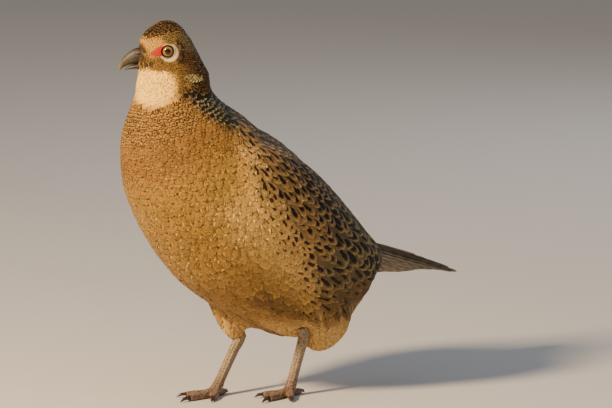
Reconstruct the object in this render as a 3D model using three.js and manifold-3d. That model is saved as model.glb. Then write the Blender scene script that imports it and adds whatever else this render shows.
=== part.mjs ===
// A common pheasant hen, life size, standing alert in her winter plumage with the head turned to her right.
// Millimetres, +Z up. The trunk faces -Y, +X is the bird's left, and the floor is at z = 0.
// Every solid is shaped to the tips of its feathers. The bird is shaped whole and parted with thin cuts.
import * as THREE from "three";
import { mergeVertices } from "three/addons/utils/BufferGeometryUtils.js";
import Module from "manifold-3d";

const wasm = await Module();
wasm.setup();

// Driving dimensions
const GAP = 0.3; // between touching pieces
const STANDING_HEIGHT = 341;
const HEAD_TURN = 45; // degrees to her right, from the way the trunk faces
const EYE_RADIUS = 6.2;
const TARSUS_RADIUS = 4.3;
const MIDDLE_TOE = 46;
const TAIL_LENGTH = 172;
const RING_SIDES = 28;

const vec = (x, y, z) => new THREE.Vector3(x, y, z);
const rad = THREE.MathUtils.degToRad;

// A place in the bird's own middle plane: forward of the feet, height, and how far to her left.
const place = (forward, height, left = 0) => vec(left, -forward, height);

const UP = vec(0, 0, 1);
const FACING = vec(-Math.sin(rad(HEAD_TURN)), -Math.cos(rad(HEAD_TURN)), 0);
const HEAD_LEFT = vec(Math.cos(rad(HEAD_TURN)), -Math.sin(rad(HEAD_TURN)), 0);

// Geometry of lofted rings

// One oval ring. `high` reaches along `up` and `low` the other way. With a taper the low side is narrower.
function ovalRing({ centre, side, up, wide, high, low, taper = 0, sides = RING_SIDES }) {
  const points = [];
  for (let i = 0; i < sides; i++) {
    const angle = (2 * Math.PI * i) / sides;
    const rise = Math.sin(angle);
    const across = Math.cos(angle) * wide * (1 + taper * rise);
    const along = rise * (rise > 0 ? high : low);
    points.push(centre.clone().addScaledVector(side, across).addScaledVector(up, along));
  }
  return points;
}

// A closed skin over a row of rings, with one point closing each end.
function skinOver(rings) {
  const sides = rings[0].length;
  const middle = (ring) =>
    ring.reduce((sum, p) => sum.add(p), vec(0, 0, 0)).divideScalar(sides);
  const points = [...rings.flat(), middle(rings[0]), middle(rings.at(-1))];
  const first = rings.length * sides;
  const faces = [];
  for (let s = 0; s < sides; s++) {
    const t = (s + 1) % sides;
    for (let r = 0; r + 1 < rings.length; r++) {
      const a = r * sides + s;
      const b = r * sides + t;
      faces.push(a, b, b + sides, a, b + sides, a + sides);
    }
    faces.push(first, t, s);
    faces.push(first + 1, first - sides + s, first - sides + t);
  }
  const geometry = new THREE.BufferGeometry().setFromPoints(points);
  geometry.setIndex(faces);
  return geometry;
}

// A closed geometry as a solid, turned the right way out.
function solid(geometry) {
  const bare = geometry.clone();
  bare.deleteAttribute("normal");
  bare.deleteAttribute("uv");
  const merged = mergeVertices(bare, 1e-4);
  const made = (triVerts) =>
    new wasm.Manifold(
      new wasm.Mesh({ numProp: 3, vertProperties: merged.attributes.position.array, triVerts }),
    );
  const triangles = new Uint32Array(merged.index.array);
  const found = made(triangles);
  return found.volume() > 0 ? found : made(triangles.reverse());
}

function geometryOf(made) {
  const mesh = made.getMesh();
  const geometry = new THREE.BufferGeometry();
  geometry.setAttribute("position", new THREE.BufferAttribute(mesh.vertProperties, 3));
  geometry.setIndex(new THREE.BufferAttribute(mesh.triVerts, 1));
  return geometry;
}

const largest = (made) =>
  made.decompose().sort((a, b) => b.volume() - a.volume())[0];

// What lies beyond a plane, in the direction it faces, less half a gap.
const beyond = (made, facing, point) =>
  made.trimByPlane(facing.toArray(), facing.dot(point) + GAP / 2);

// A limb with round sections through a few joints. A joint is [place, radius across, radius upwards].
function limb(joints, grow, { side, steps = 4, sides = 12 }) {
  const line = new THREE.CatmullRomCurve3(joints.map(([at]) => at));
  const size = new THREE.CatmullRomCurve3(joints.map(([, wide, high]) => vec(wide, high, 0)));
  const count = steps * (joints.length - 1);
  const rings = [];
  for (let i = 0; i <= count; i++) {
    const way = line.getTangent(i / count);
    const up = vec(0, 0, 0).crossVectors(side, way).normalize();
    const { x: wide, y: high } = size.getPoint(i / count);
    const centre = line.getPoint(i / count);
    rings.push(ovalRing({ centre, side, up, wide: wide + grow, high: high + grow, low: high + grow, sides }));
  }
  return solid(skinOver(rings));
}

// The feathered body, swept from the rump to the crown. Its rings face along the spine.

// [forward, height, turn in degrees, half width, towards the back, towards the breast, taper]
const STATIONS = [
  [-150, 107, 0, 11, 8, 10, 0],
  [-139, 110, 0, 31, 15, 29, 0],
  [-114, 115, 0, 51, 24, 70, 0],
  [-78, 128, 0, 65, 38, 88, 0],
  [-36, 149, 0, 74, 52, 90, 0],
  [6, 174, 0, 78, 62, 91, 0],
  [40, 205, 0, 71, 57, 85, 0],
  [58, 236, 4, 57, 43, 84, 0],
  [71, 259, 15, 42, 30, 70, 0],
  [79, 275, 30, 31, 27, 52, 0],
  [85, 287, HEAD_TURN, 24.5, 30, 37, 0.04],
  [85, 301, HEAD_TURN, 19.5, 26, 31, 0.1],
  [85, 315, HEAD_TURN, 17, 22.5, 29, 0.16],
  [85, 324, HEAD_TURN, 15, 20.5, 24.5, 0.2],
  [85, 333, HEAD_TURN, 11, 15, 17, 0.2],
  [85, STANDING_HEIGHT - 0.8, HEAD_TURN, 4, 5, 6, 0.1],
];
const HEAD_FROM = 10; // the first station of the head, whose centres then follow the way it faces
const HEAD_LEAN = [0, 3, 6, 7, 7, 7]; // how far each of its stations lies before the neck

const stationCentre = ([forward, height], i) =>
  place(forward, height).addScaledVector(FACING, i < HEAD_FROM ? 0 : HEAD_LEAN[i - HEAD_FROM]);
const spine = new THREE.CatmullRomCurve3(STATIONS.map(stationCentre));
const sizes = new THREE.CatmullRomCurve3(STATIONS.map((s) => vec(s[3], s[4], s[5])));
const turns = new THREE.CatmullRomCurve3(STATIONS.map((s) => vec(s[2], s[6], 0)));
const RINGS_A_STATION = 2;

// The ring at share u of the spine, grown outwards. Its up side is the bird's back.
function bodyRing(u, grow) {
  const way = spine.getTangent(u);
  const { x: turn, y: taper } = turns.getPoint(u);
  const left = vec(Math.cos(rad(turn)), -Math.sin(rad(turn)), 0);
  const side = left.addScaledVector(way, -left.dot(way)).normalize();
  const up = vec(0, 0, 0).crossVectors(way, side).normalize();
  const { x, y, z } = sizes.getPoint(u);
  return ovalRing({
    centre: spine.getPoint(u), side, up, wide: x + grow, high: y + grow, low: z + grow, taper,
  });
}

function body(grow) {
  const count = RINGS_A_STATION * (STATIONS.length - 1);
  const rings = [];
  for (let i = 0; i <= count; i++) rings.push(bodyRing(i / count, grow));
  return solid(skinOver(rings));
}

const stationShare = (i) => i / (STATIONS.length - 1);
const NECK_ROOT = stationShare(7.4);
const NECK_TOP = stationShare(9.7);
const cutAt = (u) => [spine.getTangent(u), spine.getPoint(u)];
const turnedBack = ([way, point]) => [way.negate(), point];

// The head, with its bill and eyes

const HEAD_MIDDLE = place(85, 315).addScaledVector(FACING, 6);
const headPlace = (forward, up, left = 0) =>
  HEAD_MIDDLE.clone()
    .addScaledVector(FACING, forward)
    .addScaledVector(HEAD_LEFT, left)
    .addScaledVector(UP, up);

// The upper mandible arches down past the lower one to its tip.
const upperMandible = (grow) =>
  limb(
    [
      [headPlace(15, -4), 6.4, 6.4],
      [headPlace(25.5, -4.6), 5.6, 7],
      [headPlace(33.5, -7.6), 4.3, 5.2],
      [headPlace(39.5, -12), 2.7, 3],
      [headPlace(42.6, -17), 0.9, 0.9],
    ],
    grow,
    { side: HEAD_LEFT, sides: 12, steps: 3 },
  );
const lowerMandible = (grow) =>
  limb(
    [
      [headPlace(13, -12.5), 5.6, 2.6],
      [headPlace(24, -13.6), 4.9, 2.6],
      [headPlace(32, -14.6), 3.6, 2],
      [headPlace(37.6, -16.4), 1.5, 0.9],
    ],
    grow,
    { side: HEAD_LEFT, sides: 10, steps: 3 },
  );

const EYE_OUT = 13.4; // the eyeball's middle, from the middle plane of the head
function eye(sign) {
  return (grow) => {
    const ball = new THREE.SphereGeometry(EYE_RADIUS + grow, 14, 8);
    ball.translate(...headPlace(0.3, 1, sign * EYE_OUT).toArray());
    return solid(ball);
  };
}

// Legs and feet

// The feet stand a short step apart, the right one ahead.
const LEGS = {
  right: { sign: -1, foot: place(15, 0, -21), ankle: place(-18.5, 50, -24.5), knee: place(4, 98, -34) },
  left: { sign: 1, foot: place(-32, 0, 24), ankle: place(-46, 54, 28), knee: place(-22, 100, 34) },
};
const TOE_HEIGHT = 3; // the middle of a toe above the floor, under its radius, so that it stands on a flat
const CLAW_SHARE = 0.24; // of a toe's length
// [name, turn from straight ahead in degrees, outwards, length, radius]
const TOES = [
  ["inner", -34, MIDDLE_TOE * 0.74, 3.5],
  ["middle", 2, MIDDLE_TOE, 3.8],
  ["outer", 36, MIDDLE_TOE * 0.78, 3.5],
  ["hind", 172, MIDDLE_TOE * 0.4, 3.2],
];
const FOOT_TURN = { right: -4, left: 10 }; // outwards

function toeLine(leg, turn) {
  const { sign, foot } = LEGS[leg];
  const angle = rad(turn + FOOT_TURN[leg]) * sign;
  const way = vec(Math.sin(angle), -Math.cos(angle), 0);
  const side = vec(Math.cos(angle), Math.sin(angle), 0);
  const at = (along, height) => foot.clone().addScaledVector(way, along).setZ(height);
  return { at, side };
}

const onFloor = (made) => made.trimByPlane([0, 0, 1], 0);

const toe = (leg, turn, length, radius) => (grow) => {
  const { at, side } = toeLine(leg, turn);
  const flesh = length * (1 - CLAW_SHARE);
  const joints = [
    [at(2, TOE_HEIGHT + 2.4), radius * 1.05, radius * 1.1],
    [at(flesh * 0.35, TOE_HEIGHT), radius * 1.05, radius],
    [at(flesh * 0.68, TOE_HEIGHT), radius * 0.92, radius * 0.92],
    [at(flesh, TOE_HEIGHT - 0.2), radius * 0.75, radius * 0.8],
  ];
  return onFloor(limb(joints, grow, { side, steps: 2, sides: 8 }));
};

const claw = (leg, turn, length, radius) => (grow) => {
  const { at, side } = toeLine(leg, turn);
  const root = length * (1 - CLAW_SHARE);
  const joints = [
    [at(root - 2.5, TOE_HEIGHT + 0.2), radius * 0.48, radius * 0.5],
    [at(root + (length - root) * 0.5, TOE_HEIGHT + 0.1), radius * 0.42, radius * 0.44],
    [at(length, 0.75), 0.42, 0.42],
  ];
  return onFloor(limb(joints, grow, { side, steps: 2, sides: 6 }));
};

const tarsus = (leg) => (grow) => {
  const { foot, ankle, knee } = LEGS[leg];
  const along = (share) => foot.clone().setZ(7).lerp(ankle, share);
  const joints = [
    [along(-0.04), 5.4, 5.6],
    [along(0.2), TARSUS_RADIUS, TARSUS_RADIUS * 1.05],
    [along(0.75), TARSUS_RADIUS, TARSUS_RADIUS * 1.15],
    [ankle, TARSUS_RADIUS * 1.2, TARSUS_RADIUS * 1.35],
    [ankle.clone().lerp(knee, 0.16), TARSUS_RADIUS, TARSUS_RADIUS * 1.2],
  ];
  return onFloor(limb(joints, grow, { side: vec(1, 0, 0), steps: 2, sides: 10 }));
};

// The loose-feathered thigh, narrow at the ankle. The left one is drawn back, and its fluff hangs behind the heel.
// [behind the ankle, height, outwards from the ankle, half width, half length]
const THIGH_RINGS = {
  right: [
    [-1, 41, 0, 6, 6.5],
    [-3, 50, 1, 8, 10],
    [-6, 61, 4, 12, 16.5],
    [-2, 79, 8, 19, 34],
    [6, 102, 12, 22, 42],
    [-8, 130, 10, 22, 38],
  ],
  left: [
    [1, 44, 0, 7, 8],
    [10, 50, 3, 12, 21],
    [15, 60, 5, 16, 34],
    [14, 79, 8, 19, 39],
    [6, 102, 12, 22, 42],
    [-8, 130, 10, 22, 38],
  ],
};
const thigh = (leg) => (grow) => {
  const { sign, ankle } = LEGS[leg];
  const joints = THIGH_RINGS[leg].map(([behind, height, out, wide, long]) => [
    vec(ankle.x + sign * out, ankle.y + behind, height), wide, long,
  ]);
  return limb(joints, grow, { side: vec(1, 0, 0), steps: 2, sides: 16 });
};

// Wings

// The folded wing in side view, from the wrist at the breast to the tips over the rump.
function wingOutline(grow) {
  const outline = new THREE.Shape();
  outline.moveTo(68 + grow, 214);
  outline.bezierCurveTo(58, 240 + grow, 30, 236 + grow, 0, 222 + grow);
  outline.bezierCurveTo(-46, 198 + grow, -92, 166 + grow, -152 - grow, 112);
  outline.bezierCurveTo(-130, 96 - grow, -100, 100 - grow, -62, 116 - grow);
  outline.bezierCurveTo(-20, 134 - grow, 70 + grow, 160 - grow, 68 + grow, 214);
  return outline;
}
const WING_STANDS_OUT = 5;
const WING_TIP_INNER = 12; // half the space between the two wings over the rump

const wing = (sign) => (grow) => {
  const slab = new THREE.ExtrudeGeometry(wingOutline(grow), {
    depth: 110, bevelEnabled: false, curveSegments: 7,
  });
  // The outline's first axis runs forward, and its second one up.
  slab.applyMatrix4(new THREE.Matrix4().makeBasis(vec(0, -1, 0), UP, vec(-1, 0, 0)));
  slab.translate(sign > 0 ? 110 + WING_TIP_INNER : -WING_TIP_INNER, 0, 0);
  return solid(slab).intersect(body(WING_STANDS_OUT + grow));
};

// The closed tail: a long wedge, arched like a low roof, with the middle feathers longest.
const TAIL_ROOT = place(-118, 131);
const TAIL_SLOPE = 18; // degrees under the horizontal, backwards
const TAIL_WAY = vec(0, Math.cos(rad(TAIL_SLOPE)), -Math.sin(rad(TAIL_SLOPE)));
const TAIL_UP = vec(0, Math.sin(rad(TAIL_SLOPE)), Math.cos(rad(TAIL_SLOPE)));
// [share of the length, half width, above the line, below the line]
const TAIL_RINGS = [
  [0, 18, 3, 20],
  [0.2, 21, 3, 22],
  [0.45, 20, 2.4, 20],
  [0.7, 15, 1.8, 15],
  [0.85, 9, 1.2, 10],
  [0.94, 5, 0.9, 4],
  [1, 1.4, 0.5, 0.8],
];

function tail(grow) {
  const rings = TAIL_RINGS.map(([share, wide, high, low]) => {
    const centre = TAIL_ROOT.clone().addScaledVector(TAIL_WAY, share * TAIL_LENGTH);
    return ovalRing({
      centre, side: vec(1, 0, 0), up: TAIL_UP, wide: wide + grow, high: high + grow, low: low + grow,
      taper: -0.35, sides: 16,
    });
  });
  return solid(skinOver(rings));
}

// Every piece, each cut back from those before it

const pieces = [];
const addPiece = (name, material, build) => pieces.push({ name, material, build });

const finishes = {
  plumage: new THREE.MeshStandardMaterial({ color: "#a98555", roughness: 0.9 }),
  wing: new THREE.MeshStandardMaterial({ color: "#7d6446", roughness: 0.85 }),
  bill: new THREE.MeshStandardMaterial({ color: "#8d8468", roughness: 0.45 }),
  eye: new THREE.MeshStandardMaterial({ color: "#5a3a12", roughness: 0.08 }),
  leg: new THREE.MeshStandardMaterial({ color: "#a08c74", roughness: 0.6 }),
  claw: new THREE.MeshStandardMaterial({ color: "#5c4a3a", roughness: 0.4 }),
};

addPiece("eye_left", "eye", eye(1));
addPiece("eye_right", "eye", eye(-1));
addPiece("bill_upper", "bill", upperMandible);
addPiece("bill_lower", "bill", lowerMandible);
for (const leg of ["left", "right"]) {
  for (const [name, turn, length, radius] of TOES) {
    addPiece(`claw_${leg}_${name}`, "claw", claw(leg, turn, length, radius));
    addPiece(`toe_${leg}_${name}`, "leg", toe(leg, turn, length, radius));
  }
  addPiece(`tarsus_${leg}`, "leg", tarsus(leg));
}
addPiece("head", "plumage", (grow) => beyond(body(grow), ...cutAt(NECK_TOP)));
addPiece("neck", "plumage", (grow) =>
  beyond(beyond(body(grow), ...cutAt(NECK_ROOT)), ...turnedBack(cutAt(NECK_TOP))));
addPiece("trunk", "plumage", (grow) => beyond(body(grow), ...turnedBack(cutAt(NECK_ROOT))));
addPiece("wing_left", "wing", wing(1));
addPiece("wing_right", "wing", wing(-1));
addPiece("thigh_left", "plumage", thigh("left"));
addPiece("thigh_right", "plumage", thigh("right"));
addPiece("tail", "wing", tail);

const extentOf = (made) => made.boundingBox();
const apart = (a, b) =>
  [0, 1, 2].some((i) => a.min[i] > b.max[i] || b.min[i] > a.max[i]);

const bird = new THREE.Group();
const before = [];
for (const { name, material, build } of pieces) {
  let made = build(0);
  for (const other of before) {
    if (!apart(extentOf(made), extentOf(other))) made = made.subtract(other);
  }
  const mesh = new THREE.Mesh(geometryOf(largest(made)), finishes[material]);
  mesh.name = name;
  bird.add(mesh);
  before.push(build(GAP));
}

// The origin is on the floor, under the middle of the bird's bounding box.
const extent = new THREE.Box3().setFromObject(bird);
const middle = extent.getCenter(vec(0, 0, 0));
bird.position.set(-middle.x, -middle.y, -extent.min.z);

export default bird;
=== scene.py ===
# %% [markdown]
# This lesson builds the looks of a hen common pheasant, standing alert with her head turned to her right.
# The solids come packed in a frame, and everything here is made around them, in metres.
# The trunk faces -Y, +X is the bird's left, and the floor is at z = 0.

# %% Load the frame
import math

import bmesh
import bpy
import numpy as np
from mathutils import Matrix, Vector
from mathutils.kdtree import KDTree


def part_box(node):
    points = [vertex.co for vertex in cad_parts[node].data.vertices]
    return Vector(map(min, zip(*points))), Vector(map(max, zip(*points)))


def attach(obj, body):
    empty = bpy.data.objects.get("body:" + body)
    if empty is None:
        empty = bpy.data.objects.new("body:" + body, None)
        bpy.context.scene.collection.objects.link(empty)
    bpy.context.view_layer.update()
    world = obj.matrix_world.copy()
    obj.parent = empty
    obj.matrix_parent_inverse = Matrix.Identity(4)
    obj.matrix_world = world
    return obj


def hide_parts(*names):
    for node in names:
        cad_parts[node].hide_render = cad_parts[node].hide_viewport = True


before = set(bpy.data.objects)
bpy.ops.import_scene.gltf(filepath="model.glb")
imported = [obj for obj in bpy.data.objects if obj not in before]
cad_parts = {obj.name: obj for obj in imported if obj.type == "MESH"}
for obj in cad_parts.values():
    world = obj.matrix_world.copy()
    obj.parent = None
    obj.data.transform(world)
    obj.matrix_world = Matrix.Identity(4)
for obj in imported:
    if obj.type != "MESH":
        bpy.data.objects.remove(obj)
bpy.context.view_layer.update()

MM = 0.001
SIDES = {"left": 1, "right": -1}
UP = Vector((0, 0, 1))
print("frame:", len(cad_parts), "nodes")

# %% [markdown]
# Colours are chosen as sRGB hex values, as a painter reads them, and turned to linear light for the shaders.
# A node tree is easier to read when one call adds a node with its settings and its links.
# The plumage is worked out with smooth ramps, so that one kind of feather passes softly into the next.

# %% Small helpers
def linear(hex_code):
    parts = [int(hex_code[i : i + 2], 16) / 255 for i in (1, 3, 5)]
    return [c / 12.92 if c <= 0.04045 else ((c + 0.055) / 1.055) ** 2.4 for c in parts]


def rgba(hex_code):
    return (*linear(hex_code), 1.0)


def plug(node, inputs):
    """Links each input that is given a socket, and sets each one that is given a value."""
    for name, value in inputs.items():
        if isinstance(value, bpy.types.NodeSocket):
            node.id_data.links.new(value, node.inputs[name])
        else:
            node.inputs[name].default_value = value


def add_node(tree, kind, inputs=None, **settings):
    node = tree.nodes.new(kind)
    for name, value in settings.items():
        setattr(node, name, value)
    plug(node, inputs or {})
    return node


def new_paint(name):
    """A new material, its node tree and the node of its surface."""
    paint = bpy.data.materials.new(name)
    paint.use_nodes = True
    return paint, paint.node_tree, paint.node_tree.nodes["Principled BSDF"]


def ramp(value, low, high):
    """0 below low, 1 above high, and smooth between. With low above high it falls."""
    share = np.clip((value - low) / (high - low), 0, 1)
    return share * share * (3 - 2 * share)


def unit(vectors):
    return vectors / np.maximum(np.linalg.norm(vectors, axis=-1, keepdims=True), 1e-9)


def read_vectors(items, field):
    out = np.empty(len(items) * 3, np.float32)
    items.foreach_get(field, out)
    return out.reshape(-1, 3).astype(float)


def positions(mesh):
    return read_vectors(mesh.vertices, "co")


def normals(mesh):
    return read_vectors(mesh.vertex_normals, "vector")


def place_vertices(mesh, co):
    mesh.vertices.foreach_set("co", np.asarray(co, np.float32).ravel())
    mesh.update()


def give(mesh, name, values):
    """Stores a vector, a colour with alpha, a whole number or a number for each vertex."""
    if values.ndim == 2:
        kind, field = {3: ("FLOAT_VECTOR", "vector"), 4: ("FLOAT_COLOR", "color")}[values.shape[1]]
    else:
        kind, field = ("INT" if values.dtype.kind == "i" else "FLOAT"), "value"
    mesh.attributes.new(name, kind, "POINT").data.foreach_set(field, values.ravel())


def new_object(name, mesh):
    made = bpy.data.objects.new(name, mesh)
    bpy.context.scene.collection.objects.link(made)
    return made


# %% [markdown]
# The camera stands where the photographer stood: ahead of the bird and to her left, a little above her back.
# A long lens from 6 m keeps the lines nearly parallel, as in the photo.
# One pixel of the photo is 0.88 mm at the feet, which sets the lens.

# %% Camera
PHOTO_SIZE = (612, 408)
FEET_PIXEL = (245, 397)
PIXEL = 0.88 * MM
AZIMUTH = math.radians(45)
ELEVATION = math.radians(10)
DISTANCE = 6.0
SENSOR = 36.0

BETWEEN_FEET = Vector((0, -0.0748, 0))
VIEW_RIGHT = Vector((math.cos(AZIMUTH), math.sin(AZIMUTH), 0))
VIEW_BACK = Vector((
    math.sin(AZIMUTH) * math.cos(ELEVATION),
    -math.cos(AZIMUTH) * math.cos(ELEVATION),
    math.sin(ELEVATION),
))
VIEW_UP = VIEW_BACK.cross(VIEW_RIGHT)

stand = BETWEEN_FEET + VIEW_BACK * DISTANCE
target = BETWEEN_FEET + VIEW_RIGHT * (PHOTO_SIZE[0] / 2 - FEET_PIXEL[0]) * PIXEL
target += VIEW_UP * (FEET_PIXEL[1] - PHOTO_SIZE[1] / 2) * PIXEL
lens = bpy.data.cameras.new("camera")
lens.sensor_width = SENSOR
lens.lens = SENSOR * DISTANCE / (PHOTO_SIZE[0] * PIXEL)
camera = bpy.data.objects.new("camera", lens)
turn = (target - stand).to_track_quat("-Z", "Y").to_matrix().to_4x4()
camera.matrix_world = Matrix.Translation(stand) @ turn
bpy.context.scene.collection.objects.link(camera)
bpy.context.scene.camera = camera
print("camera: lens", round(lens.lens), "mm")

# %% [markdown]
# A plain pale floor and three lamps take the place of the winter field.
# The small warm key lamp stands high on the left of the picture, where the sun was.
# A large cool fill opens the shade a little, and a third lamp behind the bird lights her outline.

# %% Floor and lights
LIT_MIDDLE = BETWEEN_FEET + Vector((0, 0, 0.18))


def soft_lamp(name, right, up, back, size, power, colour):
    """A round lamp that faces the bird, placed in m from her middle as the camera sees her."""
    data = bpy.data.lights.new(name, "AREA")
    data.shape = "DISK"
    data.size = size
    data.energy = power
    data.color = linear(colour)
    lamp = bpy.data.objects.new(name, data)
    place = LIT_MIDDLE + VIEW_RIGHT * right + VIEW_UP * up + VIEW_BACK * back
    turn = (place - LIT_MIDDLE).to_track_quat("Z", "Y").to_matrix().to_4x4()
    lamp.matrix_world = Matrix.Translation(place) @ turn
    bpy.context.scene.collection.objects.link(lamp)


# right, up and towards the camera in m, width in m, power in W
soft_lamp("key_lamp", -1.35, 0.95, 1.4, 0.35, 118, "#ffdfb2")
soft_lamp("fill_lamp", 1.6, 0.9, 1.2, 1.6, 5, "#dce8ff")
soft_lamp("rim_lamp", 0.9, 1.3, -1.5, 1.0, 9, "#eef3ff")

world = bpy.data.worlds.new("studio")
world.use_nodes = True
plug(world.node_tree.nodes["Background"], {"Color": rgba("#dfe4ea"), "Strength": 0.27})
bpy.context.scene.world = world

FLOOR_SPAN = 8.0
bpy.ops.mesh.primitive_plane_add(size=FLOOR_SPAN, location=(0, 0, 0))
floor = bpy.context.object
floor.name = "floor"
floor_paint, _, surface = new_paint("studio_floor_matt_paint")
plug(surface, {"Base Color": rgba("#cfccc8"), "Roughness": 0.85})
floor.data.materials.append(floor_paint)
print("stage: floor and 3 lamps")

# %% [markdown]
# Every marking on a bird has its place, so the bird needs coordinates of her own.
# The two eyes give the head's middle and its facing. Places on it are forward, up and out from there.
# On the body a bent line from the crown to the rump gives how far back a point is, and how far up the back.

# %% The bird's own coordinates
def node_middle(name):
    low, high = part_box(name)
    return (low + high) / 2


EYES = {side: node_middle(f"eye_{side}") for side in SIDES}
EYE_RADIUS = (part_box("eye_left")[1].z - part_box("eye_left")[0].z) / 2 / MM
HEAD = (EYES["left"] + EYES["right"]) / 2
HEAD_LEFT = (EYES["left"] - EYES["right"]).normalized()
FACING = HEAD_LEFT.cross(UP)
BILL_ROOT = HEAD + FACING * 16 * MM - UP * 4 * MM

# Forward of the feet, height, and turn to her right in degrees, in mm, from the crown to the rump.
SPINE = np.array([
    (85, 341, 45), (85, 287, 45), (79, 275, 30), (71, 259, 15), (58, 236, 4), (40, 205, 0),
    (6, 174, 0), (-36, 149, 0), (-78, 128, 0), (-114, 115, 0), (-150, 107, 0),
], float)
BEND_REACH = 20  # mm each way, over which the spine's bends are evened out


def head_places(points):
    """Forward, up and outwards (to either side) from between the eyes, in mm."""
    away = (points - HEAD) / MM
    return away @ FACING, away[:, 2], np.abs(away @ HEAD_LEFT)


def body_places(points):
    """Forward of the feet, height and outwards from the middle plane, in mm."""
    away = (points - BETWEEN_FEET) / MM
    return -away[:, 1], away[:, 2], np.abs(away[:, 0])


def along_spine(points):
    """How far from the crown in mm, how far up the back (-1 to 1), and the way from tail to head."""
    forward, height, _ = body_places(points)
    flat = np.stack([forward, height], 1)
    steps = np.diff(SPINE[:, :2], axis=0)
    lengths = np.linalg.norm(steps, axis=1)
    begins = np.concatenate([[0], np.cumsum(lengths)])
    best = np.full(len(points), np.inf)
    back_from_crown = np.zeros(len(points))
    centre = np.zeros((len(points), 2))
    turn = np.zeros(len(points))
    for i, step in enumerate(steps):
        share = np.clip((flat - SPINE[i, :2]) @ step / lengths[i] ** 2, 0, 1)
        near = SPINE[i, :2] + share[:, None] * step
        gap = np.linalg.norm(flat - near, axis=1)
        closer = gap < best
        best[closer] = gap[closer]
        back_from_crown[closer] = begins[i] + share[closer] * lengths[i]
        centre[closer] = near[closer]
        turn[closer] = SPINE[i, 2] + share[closer] * (SPINE[i + 1, 2] - SPINE[i, 2])
    headward, tailward = (
        [np.interp(back_from_crown + reach, begins, SPINE[:, k]) for k in (0, 1)]
        for reach in (-BEND_REACH, BEND_REACH)
    )
    level = np.zeros(len(points))
    way = unit(np.stack([level, tailward[0] - headward[0], headward[1] - tailward[1]], 1))
    angle = np.radians(turn)
    behind = np.stack([np.sin(angle), np.cos(angle), level], 1)
    back = unit(behind - way * (behind * way).sum(1)[:, None])
    middle = np.stack([level, -centre[:, 0], centre[:, 1]], 1) * MM + BETWEEN_FEET
    return back_from_crown, (unit(points - middle) * back).sum(1), way


print("head faces", [round(c, 2) for c in FACING], "eye radius", round(EYE_RADIUS, 1), "mm")

# %% [markdown]
# Each region of a pheasant has its own kind of feather, with its own size, ground colour, edge and centre.
# A list of regions is laid one over another, from the general to the special, as a painter blocks in a bird.
# Lengths and widths are in mm, and shorter than the real feathers, because only the open ends are modelled.

# %% The plumage of each region
COLOUR_FIELDS = ("ground", "edge", "centre")
NUMBER_FIELDS = ("dark", "ring", "streak", "bars", "mottle", "length", "width", "rise", "depth")


class Plumage:
    """Fields over a set of points. Each region is blended over the ones before it."""

    def __init__(self, count):
        self.count = count
        self.fields = {name: np.zeros((count, 3)) for name in COLOUR_FIELDS}
        self.fields.update({name: np.zeros(count) for name in NUMBER_FIELDS})

    def lay(self, mask, *colours, **values):
        """Blends one region in. Its colours come in the order ground, edge, centre."""
        mask = np.broadcast_to(mask, self.count)
        values.update(zip(COLOUR_FIELDS, colours))
        for name, value in values.items():
            value = np.array(linear(value)) if name in COLOUR_FIELDS else value
            share = mask[:, None] if name in COLOUR_FIELDS else mask
            self.fields[name] = self.fields[name] * (1 - share) + value * share

    def __getitem__(self, name):
        return self.fields[name]


def oval(across, up, middle, radii, soft=0.35):
    """1 inside an oval of the side view, 0 outside, and soft at its edge."""
    out = np.hypot((across - middle[0]) / radii[0], (up - middle[1]) / radii[1])
    return ramp(out, 1 + soft, 1 - soft)


def red_skin(forward, up):
    """The bare red triangle from the eye towards the corner of the mouth."""
    top = 4.6 - 0.84 * (forward - 6.6)
    low = -4.2 - 0.08 * (forward - 6.6)
    return ramp(forward, 4.2, 4.8) * ramp(up, top + 0.4, top - 0.4) * ramp(up, low - 0.4, low + 0.4)


# How far up the side the back's feathers begin, at these mm from the crown.
BACK_BORDER_AT = (60, 87, 110, 140, 173, 197, 242, 280, 330)
BACK_BORDER = (0.7, 0.42, 0.16, -0.05, -0.17, -0.25, -0.44, -0.6, -0.75)


def back_border(back):
    return np.interp(back, BACK_BORDER_AT, BACK_BORDER)


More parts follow.
